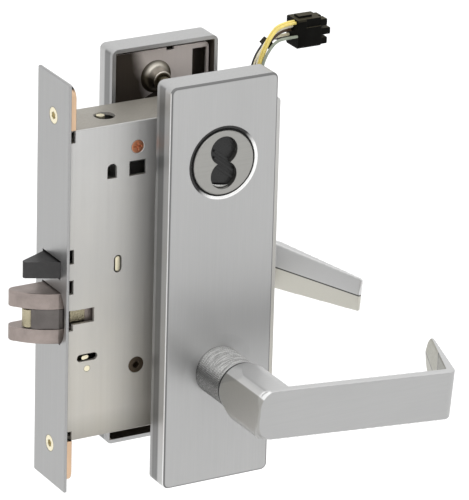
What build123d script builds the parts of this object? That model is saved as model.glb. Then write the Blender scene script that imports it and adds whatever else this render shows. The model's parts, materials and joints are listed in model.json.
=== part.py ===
from build123d import *
import os
from math import atan2, degrees, radians, sqrt, tan

# Electrified mortise lock with lever trim, in millimetres.
# Origin: outer face of the armour front, mid thickness of the door, mid height.
# +X runs into the door, -Y is the outside of the door, +Z is up.

os.makedirs("parts", exist_ok=True)

# ---- driving dimensions -------------------------------------------------
ARMOR_H = 203.2
ARMOR_W = 31.75
ARMOR_T = 1.2
FRONT_H = 196.0
FRONT_W = 25.4
FRONT_T = 4.1
FRONT_SKIN = 0.9
ARMOR_SCREW_Z = 82.0
DOOR_SCREW_Z = 91.5
FRONT_SCREW_Z = (-62.0, 40.0)

CASE_REAR = 112.7
CASE_BOTTOM = -76.8
CASE_TOP = 77.9
CASE_HALF = 12.7
WALL = 1.6

BACKSET = 69.85
HUB_Z = -43.6
CYL_Z = 60.0
CLAMP_Z = 58.4
CLAMP_Y = -7.2
LATCH_Z = -15.5
AUX_Z = 8.5

DOOR_HALF = 22.2
TRIM_DEPTH = 13.6
TRIM_W = 56.0
TRIM_H = 200.0
TRIM_WALL = 2.0
PLATE_T = 1.5
PLATE_SEAT = 27.5
BOLT_X = 67.0
BOLT_Z = 82.5

BUSHING_R = 12.0
BUSHING_LEN = 21.8
LEVER_H = 24.0
LEVER_LIFT = 0.9
LEVER_DROOP = 4.8
OUT_REACH, OUT_STAND = 93.0, 96.0
IN_REACH, IN_STAND = 100.0, 87.0

FIT = 0.05
WIRE_EXIT = 106.0
OUTSIDE_ARM, INSIDE_ARM = 16.0, 30.0

# ---- derived places -----------------------------------------------------
SEAT_X = ARMOR_T + FRONT_T
CASE_FRONT = ARMOR_T + FRONT_SKIN
CASE_IN = CASE_HALF - WALL
WIRE_TOP = CASE_TOP + 1.4
TRIM_FACE = DOOR_HALF + TRIM_DEPTH
TRIM_IN = TRIM_FACE - TRIM_WALL
BUSH_END = TRIM_FACE + BUSHING_LEN


# ---- small helpers ------------------------------------------------------
def block(x, y, z):
    """A box from pairs of limits along X, Y and Z."""
    size = Box(x[1] - x[0], y[1] - y[0], z[1] - z[0])
    return Pos((x[0] + x[1]) / 2, (y[0] + y[1]) / 2, (z[0] + z[1]) / 2) * size


def rod_x(y, z, radius, x0, x1):
    """A cylinder along X."""
    return Pos((x0 + x1) / 2, y, z) * Rot(0, 90, 0) * Cylinder(radius, x1 - x0)


def rod_y(x, z, radius, y0, y1):
    """A cylinder along Y."""
    return Pos(x, (y0 + y1) / 2, z) * Rot(90, 0, 0) * Cylinder(radius, abs(y1 - y0))


def rod_z(x, y, radius, z0, z1):
    """A cylinder along Z."""
    return Pos(x, y, (z0 + z1) / 2) * Cylinder(radius, z1 - z0)


def cone_x(y, z, r0, r1, x0, x1):
    """A cone along X, of radius r0 at x0 and r1 at x1."""
    return Pos((x0 + x1) / 2, y, z) * Rot(0, 90, 0) * Cone(r0, r1, x1 - x0)


def cone_y(x, z, r0, r1, y0, y1):
    """A cone along Y, of radius r0 at y0 and r1 at y1, with y0 below y1."""
    return Pos(x, (y0 + y1) / 2, z) * Rot(-90, 0, 0) * Cone(r0, r1, y1 - y0)


def slot_y(x, z, width, height, y0, y1):
    """A round-ended opening through a wall that faces Y."""
    small = min(width, height) / 2
    run = (max(width, height) - 2 * small) / 2
    if height > width:
        ends = rod_y(x, z - run, small, y0, y1) + rod_y(x, z + run, small, y0, y1)
        return ends + block((x - small, x + small), (y0, y1), (z - run, z + run))
    ends = rod_y(x - run, z, small, y0, y1) + rod_y(x + run, z, small, y0, y1)
    return ends + block((x - run, x + run), (y0, y1), (z - small, z + small))


def slot_z(x, radius, half_run, z0, z1):
    """A round-ended shape along Y, centred on Y = 0, with its axis along Z."""
    ends = rod_z(x, -half_run, radius, z0, z1) + rod_z(x, half_run, radius, z0, z1)
    return ends + block((x - radius, x + radius), (-half_run, half_run), (z0, z1))


def plan(points, z0, z1):
    """A prism along Z over a plan outline given as X, Y points."""
    face = make_face(Polyline(*points, close=True))
    return extrude(Pos(0, 0, z0) * face, amount=z1 - z0)


def elevation(points, y0, y1):
    """A prism along Y over an outline given as X, Z points."""
    face = make_face(Polyline(*[(x, 0, z) for x, z in points], close=True))
    solid = extrude(face, amount=y1 - y0, dir=(0, 1, 0))
    return Pos(0, y0, 0) * solid


def coil(radius, wire, length, turns):
    """A compression spring along Z from its lower end."""
    pitch = (length - wire) / turns
    path = Pos(0, 0, wire / 2) * Helix(pitch=pitch, height=length - wire, radius=radius)
    section = Plane(origin=path @ 0, z_dir=path % 0) * Circle(wire / 2)
    return sweep(section, path=path, is_frenet=True)


def mirror_y(shape):
    """The same piece for the inside of the door."""
    return mirror(shape, about=Plane.XZ)


NODES = {}


def keep(name, shape):
    """Store a node and write its STEP file."""
    NODES[name] = shape
    shape.label = name
    export_step(shape, f"parts/{name}.step")


# ---- front --------------------------------------------------------------
def latch_opening(x0, x1, bulge):
    """Latch hole in the fronts, bulged on the bevelled side for the tongue."""
    half, low, high = 9.3, -28.4, -2.3
    edge = Line((0, -half, high), (0, half, high))
    edge += Line((0, half, high), (0, half, low))
    edge += Line((0, half, low), (0, -half, low))
    edge += ThreePointArc((0, -half, low), (0, -half - bulge, LATCH_Z), (0, -half, high))
    face = make_face(edge)
    return Pos(x0, 0, 0) * extrude(face, amount=x1 - x0, dir=(1, 0, 0))


def aux_opening(x0, x1):
    """Hole for the auxiliary latch."""
    return block((x0, x1), (-9.1, 9.1), (AUX_Z - 4.5, AUX_Z + 4.8))


def armor_front():
    plate = block((0, ARMOR_T), (-ARMOR_W / 2, ARMOR_W / 2), (-ARMOR_H / 2, ARMOR_H / 2))
    plate = fillet(plate.edges().filter_by(Axis.X), 1.0)
    plate = chamfer(plate.faces().sort_by(Axis.X)[0].outer_wire().edges(), 0.3)
    plate -= latch_opening(-1, ARMOR_T + 1, 5.4) + aux_opening(-1, ARMOR_T + 1)
    for z in (-ARMOR_SCREW_Z, ARMOR_SCREW_Z):
        plate -= cone_x(0, z, 4.3, 2.3, 0, ARMOR_T) + rod_x(0, z, 2.3, -1, ARMOR_T + 1)
    return plate


def lock_front():
    """Front plate: thick above and below the case, and a thin skin across it."""
    half_w, half_h = FRONT_W / 2, FRONT_H / 2
    plate = block((ARMOR_T, SEAT_X), (-half_w, half_w), (-half_h, half_h))
    plate = fillet(plate.edges().filter_by(Axis.X), 5.0)
    plate -= block((CASE_FRONT, SEAT_X + 1), (-20, 20), (CASE_BOTTOM - 0.1, CASE_TOP + 0.1))
    for y in (-half_w, half_w):
        plate -= block((0, CASE_FRONT + 1), (y - 0.7, y + 0.7), (CASE_BOTTOM - 0.1, CASE_TOP + 0.1))
    plate -= latch_opening(ARMOR_T - 1, SEAT_X + 1, 2.2) + aux_opening(ARMOR_T - 1, SEAT_X + 1)
    for z in (-ARMOR_SCREW_Z, ARMOR_SCREW_Z):
        plate -= rod_x(0, z, 2.05 + FIT, ARMOR_T - 1, SEAT_X + 1)
    for z in (-DOOR_SCREW_Z, DOOR_SCREW_Z):
        plate -= cone_x(0, z, 5.0, 2.9, ARMOR_T, ARMOR_T + 2.1) + rod_x(0, z, 2.9, ARMOR_T, SEAT_X + 1)
    plate -= rod_x(CLAMP_Y, CLAMP_Z, 2.6, ARMOR_T - 1, SEAT_X + 1)
    return plate - front_screw_holes()


def front_screw_holes():
    """Countersunk holes through the front's skin and the case's front wall."""
    holes = Part()
    for z in FRONT_SCREW_Z:
        holes += cone_x(0, z, 3.6, 1.75, ARMOR_T, ARMOR_T + 1.85) + rod_x(0, z, 1.75, ARMOR_T, 14.0)
    return holes


def armor_screws():
    """Oval-headed screws with hexagon sockets that hold the armour to the front."""
    screws = Part()
    for z in (-ARMOR_SCREW_Z, ARMOR_SCREW_Z):
        screw = cone_x(0, z, 4.1, 2.1, 0.1, ARMOR_T) + rod_x(0, z, 2.05, ARMOR_T, 9.0)
        socket = Pos(0, 0, z) * Rot(0, 90, 0) * extrude(RegularPolygon(1.9, 6), amount=2.0)
        screws += screw - socket
    return screws


def front_screws():
    """Countersunk screws that hold the case to the lock front."""
    screws = Part()
    for z in FRONT_SCREW_Z:
        head = cone_x(0, z, 3.5, 1.7, ARMOR_T + 0.1, ARMOR_T + 1.9)
        screw = head + rod_x(0, z, 1.7, ARMOR_T + 1.9, 12.0)
        screws += screw - block((0, ARMOR_T + 0.8), (-2.6, 2.6), (z - 0.4, z + 0.4))
    return screws


# ---- case ---------------------------------------------------------------
COVER_SCREWS = ((37.4, 65.2), (104.5, 66.0), (104.5, -31.0))
RIVETS = ((12.7, -41.3), (49.5, 69.5), (50.0, -70.5))
STOP_SCREW = (38.6, -44.1)
KEY_PIVOT = (92.0, 22.0)


def case_box():
    """Drawn steel box, open on the outside face."""
    outer = block((CASE_FRONT, CASE_REAR), (-CASE_IN, CASE_HALF), (CASE_BOTTOM, CASE_TOP))
    outer = fillet(outer.edges().filter_by(Axis.Y).sort_by(Axis.X)[-2:], 2.0)
    cavity = block(
        (CASE_FRONT + WALL, CASE_REAR - WALL),
        (-CASE_IN - 1, CASE_IN),
        (CASE_BOTTOM + WALL, CASE_TOP - WALL),
    )
    box = outer - cavity
    x0, x1 = CASE_FRONT - 1, CASE_FRONT + WALL + 1
    box -= latch_opening(x0, x1, 0.4) + aux_opening(x0, x1)
    box -= rod_x(CLAMP_Y, CLAMP_Z, 2.6, x0, x1)
    for z in FRONT_SCREW_Z:
        box += rod_x(0, z, 3.4, CASE_FRONT + WALL, 12.4)
    box -= front_screw_holes()
    y0, y1 = CASE_IN - 1, CASE_HALF + 1
    box -= rod_y(BACKSET, CYL_Z, 14.8, y0, y1) + rod_y(BACKSET, HUB_Z, 9.6, y0, y1)
    box -= rod_z(26.4, 0, 5.0, CASE_TOP - WALL - 1, CASE_TOP + 1)
    box -= slot_z(WIRE_EXIT, 2.3, 3.6, CASE_TOP - WALL - 1, CASE_TOP + 1)
    for x, z in COVER_SCREWS:
        box += rod_y(x, z, 3.6, -CASE_IN, CASE_IN)
        box -= rod_y(x, z, 1.65, -CASE_IN - 1, CASE_IN - 4)
    for x, z in RIVETS:
        box -= rod_y(x, z, 1.6, y0, y1)
    box -= front_notches()
    return box


def front_notches():
    """Punched notches along the front edge of the outside face."""
    cuts = Part()
    for low, high in ((72.0, 79.0), (12.5, 19.5), (-2.6, 4.3), (-21.0, -10.8), (-79.0, -72.0)):
        cuts += block((CASE_FRONT - 1, 5.0), (-CASE_HALF - 1, -CASE_IN + 1.0), (low, high))
    return cuts


def case_cover():
    """Flat steel cover that closes the outside face of the case."""
    lid = block((CASE_FRONT, CASE_REAR), (-CASE_HALF, -CASE_IN), (CASE_BOTTOM, CASE_TOP))
    lid = fillet(lid.edges().filter_by(Axis.Y).sort_by(Axis.X)[-2:], 2.0)
    lid = chamfer(lid.faces().sort_by(Axis.Y)[0].outer_wire().edges(), 0.4)
    y0, y1 = -CASE_HALF - 1, -CASE_IN + 1
    lid -= front_notches()
    lid -= block((5.0, 16.0), (y0, y1), (-18.0, -11.0))
    lid -= block((21.8, 26.7), (y0, y1), (51.6, 56.6)) + rod_y(24.25, 56.3, 2.45, y0, y1)
    lid -= block((33.2, 42.0), (y0, y1), (51.3, 58.5))
    lid -= slot_y(28.0, 8.7, 4.0, 8.6, y0, y1)
    lid -= slot_y(12.7, -35.6, 10.6, 3.6, y0, y1)
    lid -= rod_y(BACKSET, CYL_Z, 14.8, y0, y1) + rod_y(BACKSET, HUB_Z, 9.6, y0, y1)
    lid -= rod_y(STOP_SCREW[0], STOP_SCREW[1], 4.0, y0, y1)
    for x, z in COVER_SCREWS:
        lid -= cone_y(x, z, 3.4, 1.7, -CASE_HALF, -CASE_IN) + rod_y(x, z, 1.75, y0, y1)
    for x, z in RIVETS:
        lid -= rod_y(x, z, 1.6, y0, y1)
    return lid


def cover_screws():
    screws = Part()
    for x, z in COVER_SCREWS:
        screw = cone_y(x, z, 3.1, 1.6, -CASE_HALF + 0.1, -CASE_IN) + rod_y(x, z, 1.6, -CASE_IN, 6.0)
        cross = block((x - 1.9, x + 1.9), (-14, -CASE_HALF + 1.1), (z - 0.4, z + 0.4))
        cross += block((x - 0.4, x + 0.4), (-14, -CASE_HALF + 1.1), (z - 1.9, z + 1.9))
        screws += screw - cross
    return screws


def case_rivets():
    """Shouldered posts that space the cover from the box and are peened at both ends."""
    posts = Part()
    for x, z in RIVETS:
        ends = rod_y(x, z, 1.55, -CASE_HALF + 0.05, CASE_HALF - 0.05)
        posts += ends + rod_y(x, z, 2.6, -CASE_IN + 0.02, CASE_IN - 0.02)
    return posts


def stop_screw():
    """Socket-headed screw that sets the locked side of the outside hub."""
    x, z = STOP_SCREW
    screw = rod_y(x, z, 3.9, -CASE_HALF + 0.1, -9.0) + rod_y(x, z, 2.6, -9.0, CASE_IN - 0.1)
    socket = extrude(Pos(x, -8.6, z) * Rot(90, 0, 0) * RegularPolygon(1.9, 6), amount=8)
    return screw - socket


def top_link():
    """Bolt end seen through the hole in the top wall of the case."""
    bolt = rod_z(25.6, 2.6, 2.1, CASE_TOP - WALL - 2.0, CASE_TOP - 0.5)
    bolt += rod_z(25.6, 2.6, 1.6, 62.0, CASE_TOP - WALL - 2.0)
    foot = block((20.0, 30.0), (1.0, CASE_IN), (59.0, 62.0))
    return bolt + foot


# ---- latch --------------------------------------------------------------
ROD_R = 3.5
GUIDE_X = 56.0
TAIL_X = 76.0
AUX_STEM_R = 2.5
AUX_GUIDE_X = 39.0


def latch_head_plan():
    """Plan outline of the latch head, bevelled on the outside face."""
    edge = Line((22, 9), (-15.6, 9))
    edge += ThreePointArc((-15.6, 9), (-18.9, 6.4), (-17.2, 2.4))
    edge += ThreePointArc((-17.2, 2.4), (-10.2, -4.3), (-0.6, -9))
    edge += Line((-0.6, -9), (22, -9))
    edge += Line((22, -9), (22, 9))
    return make_face(edge)


def latchbolt():
    low, high = -28.0, -3.0
    head = extrude(Pos(0, 0, low) * latch_head_plan(), amount=high - low)
    nose = head.edges().filter_by(lambda e: e.center().X < -1 and abs(e.tangent_at(0).Z) < 0.5)
    head = fillet(nose, 0.7)
    head -= block((-25, 13.0), (-10, 10), (-20.8, -10.6))
    head -= rod_z(7.0, 3.0, 1.55, -27.0, -4.0)
    return head


def latch_tail():
    """Rod and yoke plate behind the latch head."""
    tail = rod_x(0, LATCH_Z, ROD_R, 22.0, TAIL_X)
    tail += block((TAIL_X, TAIL_X + 3), (-10.2, 10.2), (-27.5, -7.5))
    return tail


def guide(x, z, half, bore):
    """Bracket on the back of the box with a bearing hole for a stem along X."""
    plate = block((x, x + 2.5), (-CASE_IN + 0.1, CASE_IN), (z - half, z + half))
    foot = block((x + 2.5, x + 9), (CASE_IN - 2.0, CASE_IN), (z - half, z + half))
    return plate + foot - rod_x(0, z, bore, x - 1, x + 4)


def stem_guides():
    latch_side = guide(GUIDE_X, LATCH_Z, 9.0, ROD_R + 0.08)
    return latch_side + guide(AUX_GUIDE_X, AUX_Z, 6.5, AUX_STEM_R + 0.08)


def latch_spring():
    spring = coil(5.3, 1.4, GUIDE_X - 22.0 - 0.1, 8)
    return Pos(22.05, 0, LATCH_Z) * Rot(0, 90, 0) * spring


def tongue():
    """Anti-friction tongue that swings inside the latch head."""
    points = ((11.0, -2.0), (3.0, -8.7), (-0.4, -8.9), (-10.4, -4.2), (-11.6, -2.6))
    points += ((-11.6, 4.6), (-8.5, 5.5), (11.0, 5.5))
    body = plan(points, -20.5, -10.9)
    return body - rod_z(7.0, 3.0, 1.58, -22, -9)


def tongue_nose():
    """Brass anti-friction nose on the tip of the tongue."""
    edge = Line((-11.6, 3.8), (-11.6, -2.4))
    edge += ThreePointArc((-11.6, -2.4), (-14.4, 0.6), (-11.6, 3.8))
    return extrude(Pos(0, 0, -20.0) * make_face(edge), amount=8.6)


def tongue_pin():
    return rod_z(7.0, 3.0, 1.5, -26.9, -4.1)


def tongue_spring():
    """Brass leaf in the latch head that returns the tongue."""
    leaf = block((5.4, 13.0), (-8.9, -8.5), (-18.2, -11.4))
    return leaf + block((12.6, 13.0), (-8.5, -4.5), (-18.2, -11.4))


# ---- auxiliary latch ----------------------------------------------------
def aux_latch():
    """Auxiliary latch: a blunt wedge on a round stem."""
    edge = Line((20, 8.5), (0.5, 8.5))
    edge += Line((0.5, 8.5), (-13.6, 1.6))
    edge += ThreePointArc((-13.6, 1.6), (-14.8, 0), (-13.6, -1.6))
    edge += Line((-13.6, -1.6), (0.5, -8.5))
    edge += Line((0.5, -8.5), (20, -8.5))
    edge += Line((20, -8.5), (20, 8.5))
    wedge = extrude(Pos(0, 0, AUX_Z - 4) * make_face(edge), amount=8.0)
    return wedge + rod_x(0, AUX_Z, AUX_STEM_R, 20.0, 54.0)


def aux_spring():
    spring = coil(3.7, 1.0, AUX_GUIDE_X - 20.0 - 0.1, 7)
    return Pos(20.05, 0, AUX_Z) * Rot(0, 90, 0) * spring


# ---- hubs ---------------------------------------------------------------
SPINDLE = 8.0


def square_y(half, y0, y1):
    return block((BACKSET - half, BACKSET + half), (y0, y1), (HUB_Z - half, HUB_Z + half))


def hub(reach):
    """Outside hub with an upright arm of the given reach; the inside one is its mirror."""
    body = rod_y(BACKSET, HUB_Z, 13.0, -CASE_IN + 0.1, -0.6)
    body += rod_y(BACKSET, HUB_Z, 9.5, -CASE_HALF - 0.8, -CASE_IN + 0.1)
    body += block((BACKSET - 4, BACKSET + 4), (-10.6, -5.0), (HUB_Z, HUB_Z + reach))
    return body - square_y(SPINDLE / 2 + FIT, -20, 1)


def square_spindle():
    return chamfer(square_y(SPINDLE / 2, -51.0, -1.0).edges().filter_by(Axis.Y), 0.6)


# ---- cylinder -----------------------------------------------------------
LOBES = ((5.9, 6.95), (-6.1, 6.75))


def core_shape(y0, y1, shrink):
    """The figure-eight section of an interchangeable core."""
    shape = Part()
    for dz, radius in LOBES:
        shape += rod_y(BACKSET, CYL_Z + dz, radius - shrink, y0, y1)
    return shape


def cylinder_housing():
    """Threaded mortise cylinder with a figure-eight core pocket."""
    body = rod_y(BACKSET, CYL_Z, 14.6, -TRIM_FACE + 1.6, -3.6)
    face = rod_y(BACKSET, CYL_Z, 15.6, -TRIM_FACE - 0.3, -TRIM_FACE + 1.6)
    face = chamfer(face.edges().sort_by(Axis.Y)[0], 0.4)
    thread_slot = block((BACKSET - 16, BACKSET - 13.4), (-30, 0), (CLAMP_Z - 2.8, CLAMP_Z + 2.8))
    shaft_hole = rod_y(BACKSET, CYL_Z, 4.1, -8, 0)
    return body + face - core_shape(-40, -7.0, 0) - thread_slot - shaft_hole


def core_blank():
    """Moulded blank that fills the core pocket until the core is fitted."""
    blank = core_shape(-33.4, -7.1, 0.1)
    for step in range(3):
        rib = Pos(BACKSET + 1, -33.4, CYL_Z - 5.0 + 3.4 * step) * Rot(0, 38, 0) * Box(13, 1.6, 1.1)
        blank += rib & core_shape(-36, -30, 0.1)
    return blank


def cylinder_collar():
    """Black ring between the cylinder and the escutcheon."""
    ring = rod_y(BACKSET, CYL_Z, 16.9, -TRIM_FACE + 0.4, -PLATE_SEAT)
    return ring - rod_y(BACKSET, CYL_Z, 15.7, -TRIM_FACE, -PLATE_SEAT + 1)


def cylinder_cam():
    """Cam that the core's throw pins turn."""
    cam = rod_y(BACKSET, CYL_Z, 11.0, -3.5, -1.3)
    cam += block((BACKSET, BACKSET + 14.2), (-3.5, -1.3), (CYL_Z - 3.5, CYL_Z + 3.5))
    cam += block((BACKSET + 11.5, BACKSET + 14.2), (-3.5, 5.5), (CYL_Z - 3.5, CYL_Z + 3.5))
    return cam + rod_y(BACKSET, CYL_Z, 4.0, -6.8, -3.5)


def cylinder_clamp_screw():
    """Long screw through the front that locks the cylinder's thread."""
    end = BACKSET - 13.4 - 0.3
    screw = rod_x(CLAMP_Y, CLAMP_Z, 2.5, 2.4, end)
    return screw - block((0, 3.4), (CLAMP_Y - 2, CLAMP_Y + 2), (CLAMP_Z - 0.4, CLAMP_Z + 0.4))


def key_lever():
    """Bell crank between the cylinder cam and the latch tail."""
    x, z = KEY_PIVOT
    outline = ((x - 13, z + 22), (x - 8, z + 22), (x + 4, z + 3), (x + 3, z - 4), (x - 3, z - 27))
    outline += ((x - 8, z - 27), (x - 4, z - 3), (x - 5, z + 4))
    return elevation(outline, 4.2, 6.2) - rod_y(x, z, 2.06, 0, 10)


def key_lever_post():
    x, z = KEY_PIVOT
    return rod_y(x, z, 3.6, 6.4, CASE_IN) + rod_y(x, z, 2.0, 3.0, 6.4) + rod_y(x, z, 3.2, 2.2, 4.0)


# ---- solenoid -----------------------------------------------------------
SOL_Z = -61.0


def solenoid_frame():
    frame = block((86.2, 87.7), (-9.0, CASE_IN), (SOL_Z - 12, SOL_Z + 9))
    frame += block((108.3, 109.8), (-9.0, CASE_IN), (SOL_Z - 12, SOL_Z + 9))
    frame += block((87.7, 108.3), (-9.0, CASE_IN), (SOL_Z - 12, SOL_Z - 10.5))
    return frame - rod_x(0, SOL_Z, 4.1, 80, 108)


def solenoid_coil():
    coil_body = rod_x(0, SOL_Z, 9.2, 87.8, 108.2) - rod_x(0, SOL_Z, 4.1, 80, 110)
    groove = rod_x(0, SOL_Z, 12, 89.3, 106.7) - rod_x(0, SOL_Z, 8.6, 80, 110)
    return coil_body - groove


def solenoid_plunger():
    return rod_x(0, SOL_Z, 4.0, 80.0, 103.5)


def locking_bar():
    """Bar on the plunger with the finger that stands under the outside hub."""
    bar = block((64.0, 80.0), (-9.0, 6.0), (-65.5, -58.9))
    return bar + block((65.5, 69.5), (-9.0, -4.0), (-58.9, -57.6))


def plunger_spring():
    spring = coil(5.3, 0.9, 86.2 - 80.0 - 0.1, 3)
    return Pos(80.05, 0, SOL_Z) * Rot(0, 90, 0) * spring


def terminal_board():
    board = block((96.0, 110.9), (7.5, 9.1), (36.0, 61.0))
    feet = rod_y(99, 39, 1.6, 9.1, CASE_IN) + rod_y(108, 58, 1.6, 9.1, CASE_IN)
    return board + feet


def wire_grommet():
    """Oblong rubber grommet in the top wall of the case."""
    ring = slot_z(WIRE_EXIT, 3.4, 3.8, CASE_TOP, WIRE_TOP)
    ring = fillet(ring.faces().sort_by(Axis.Z)[-1].outer_wire().edges(), 0.5)
    ring += slot_z(WIRE_EXIT, 2.25, 3.6, CASE_TOP - WALL, CASE_TOP)
    return ring + slot_z(WIRE_EXIT, 3.2, 3.8, CASE_TOP - WALL - 1.2, CASE_TOP - WALL)


# ---- trim ---------------------------------------------------------------
SCREW_SPOTS = ((-20.5, 44), (20.5, 44), (-20.5, -74), (20.5, -74))


def escutcheon(hole_for_cylinder):
    """Hollow escutcheon for the outside; its rim lies on the door face."""
    half = TRIM_W / 2
    shell = block((BACKSET - half, BACKSET + half), (-TRIM_FACE, -DOOR_HALF), (-TRIM_H / 2, TRIM_H / 2))
    shell = fillet(shell.edges().filter_by(Axis.Y), 3.2)
    shell = fillet(shell.faces().sort_by(Axis.Y)[0].outer_wire().edges(), 1.2)
    inner = half - TRIM_WALL
    tall = TRIM_H / 2 - TRIM_WALL
    cavity = block((BACKSET - inner, BACKSET + inner), (-TRIM_IN, 0), (-tall, tall))
    shell -= fillet(cavity.edges().filter_by(Axis.Y), 2.0)
    for dx, z in SCREW_SPOTS:
        shell += rod_y(BACKSET + dx, z, 3.2, -TRIM_IN, -PLATE_SEAT)
        shell -= rod_y(BACKSET + dx, z, 1.3, -TRIM_IN + 0.6, -PLATE_SEAT + 1)
    shell -= rod_y(BACKSET, HUB_Z, 9.7, -TRIM_FACE - 1, -DOOR_HALF)
    if hole_for_cylinder:
        shell -= rod_y(BACKSET, CYL_Z, 17.0, -TRIM_FACE - 1, -DOOR_HALF)
        shell -= cone_y(BACKSET, CYL_Z, 17.9, 17.0, -TRIM_FACE, -TRIM_FACE + 0.9)
    return shell


def mounting_plate():
    """Steel plate inside an escutcheon; the outside one is made, the other is its mirror."""
    y0, y1 = -PLATE_SEAT, -PLATE_SEAT + PLATE_T
    plate = block((BACKSET - 25.2, BACKSET + 25.2), (y0, y1), (-86.0, 96.0))
    plate = fillet(plate.edges().filter_by(Axis.Y), 2.5)
    plate -= rod_y(BACKSET, HUB_Z, 9.0, y0 - 1, y1 + 1)
    plate -= rod_y(BACKSET, CYL_Z, 15.2, y0 - 1, y1 + 1)
    plate -= block((BACKSET + 16.4, BACKSET + 24.0), (y0 - 1, y1 + 1), (77.0, 93.4))
    plate -= block((BACKSET + 2.5, BACKSET + 6.5), (y0 - 1, y1 + 1), (94.6, 97.0))
    for z in (-BOLT_Z, BOLT_Z):
        plate -= rod_y(BOLT_X, z, 2.6, y0 - 1, y1 + 1)
    for dx, z in SCREW_SPOTS:
        plate -= rod_y(BACKSET + dx, z, 1.7, y0 - 1, y1 + 1)
    return plate


def plate_screws():
    """Pan-headed screws that hold both mounting plates to their escutcheons."""
    screws = Part()
    for dx, z in SCREW_SPOTS:
        x = BACKSET + dx
        screw = rod_y(x, z, 1.25, -TRIM_IN + 0.8, -PLATE_SEAT + PLATE_T)
        screw += rod_y(x, z, 2.7, -PLATE_SEAT + PLATE_T, -PLATE_SEAT + PLATE_T + 1.6)
        screw -= block((x - 1.9, x + 1.9), (-PLATE_SEAT + PLATE_T + 0.9, -20), (z - 0.35, z + 0.35))
        screws += screw
        screws += mirror_y(screw)
    return screws


def inside_posts():
    """Flared posts that stand on the inside mounting plate round the through bolts."""
    face = PLATE_SEAT - PLATE_T
    posts = Part()
    for z in (-BOLT_Z, BOLT_Z):
        reach = 8.0 if z > 0 else 7.0
        post = cone_y(BOLT_X, z, 4.3, reach, 19.0, face - 1.0)
        post += rod_y(BOLT_X, z, reach, face - 1.0, face)
        posts += post - rod_y(BOLT_X, z, 2.6, 0, 40)
    return posts


def outside_posts():
    """Threaded sleeves that stand on the outside mounting plate."""
    face = -PLATE_SEAT + PLATE_T
    posts = Part()
    for z in (-BOLT_Z, BOLT_Z):
        post = rod_y(BOLT_X, z, 4.2, face, -6.0) + rod_y(BOLT_X, z, 6.5, face, face + 1.2)
        posts += post - rod_y(BOLT_X, z, 2.55, -40, 0)
    return posts


def through_bolts():
    bolts = Part()
    for z in (-BOLT_Z, BOLT_Z):
        bolt = rod_y(BOLT_X, z, 2.5, -18.0, PLATE_SEAT) + rod_y(BOLT_X, z, 4.6, PLATE_SEAT, PLATE_SEAT + 3.0)
        bolts += bolt - rod_y(BOLT_X, z, 1.6, PLATE_SEAT + 1.2, PLATE_SEAT + 5)
    return bolts


CAGE_R = 21.0


def spring_cage():
    """Cup behind the escutcheon that holds the lever's return spring."""
    y_face, y_seat = -TRIM_IN + 0.1, -PLATE_SEAT
    cup = rod_y(BACKSET, HUB_Z, CAGE_R, y_face, y_seat)
    cup -= rod_y(BACKSET, HUB_Z, CAGE_R - 1.2, y_face + 1.0, y_seat + 1)
    return cup - rod_y(BACKSET, HUB_Z, 9.75, y_face - 1, y_seat + 1)


def return_spring():
    """Torsion spring of a lever, coiled inside its cage."""
    spring = coil(15.0, 1.6, 4.9, 2)
    return Pos(BACKSET, -PLATE_SEAT - 0.05, HUB_Z) * Rot(90, 0, 0) * spring


def bushing():
    """Knurled collar that carries the lever outside the escutcheon."""
    ring = rod_y(BACKSET, HUB_Z, BUSHING_R, -BUSH_END, -TRIM_FACE)
    ring = chamfer(ring.edges().sort_by(Axis.Y)[0], 0.4)
    ring += rod_y(BACKSET, HUB_Z, 9.65, -TRIM_FACE, -PLATE_SEAT)
    ring -= rod_y(BACKSET, HUB_Z, 8.0, -BUSH_END - 1, -PLATE_SEAT + 1)
    return ring


# ---- levers -------------------------------------------------------------
BAR_T, BAR_RIDGE = 4.6, 1.6
TURN_X, TURN_Y = 19.5, 53.5
TURN_R = 6.0
TAPER = 4.0
TIP_H = 17.0
OUT_TIP_R, IN_TIP_R = 7.5, 1.2
BAR_CORNER = 8.0
NECK_LEFT, NECK_RIGHT = -12.0, 11.4
WEB_R = 8.0


def prism_y(points, depth):
    """Prism along Y on an outline given in X and Z."""
    face = make_face(Polyline(*[(x, z, 0) for x, z in points], close=True))
    return Rot(90, 0, 0) * extrude(face, amount=depth, both=True)


def bar_section(stand, outer):
    """Lever bar section in Y and Z: flat outside, ridged towards the door."""
    half = LEVER_H / 2
    front, back = -stand - outer, -stand + BAR_T
    points = ((front, -half), (back, -half), (back + BAR_RIDGE, 0), (back, half), (front, half))
    return make_face(Polyline(*[(0, y, z) for y, z in points], close=True))


def return_outline(length, tip_radius):
    """Side outline of the return, which narrows to a free end with rounded corners."""
    half, tip = LEVER_H / 2, TIP_H / 2
    points = ((-9, half), (0, half), (length, tip), (length, -tip), (0, -half), (-9, -half))
    outline = prism_y(points, 30)
    return fillet(outline.edges().filter_by(Axis.Y).sort_by(Axis.X)[-2:], tip_radius)


def plan_outline(reach, stand):
    """Plan of the bar's outer side with a rounded corner where the return begins."""
    far = (reach + TURN_X * 1.2, -stand + TURN_Y * 1.2)
    points = ((-30, -stand), (reach, -stand), far, (-30, far[1]))
    face = make_face(Polyline(*points, close=True))
    face = fillet(face.vertices().sort_by(Axis.Y).sort_by(Axis.X)[2:3], TURN_R)
    return extrude(face, amount=30, both=True)


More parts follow.
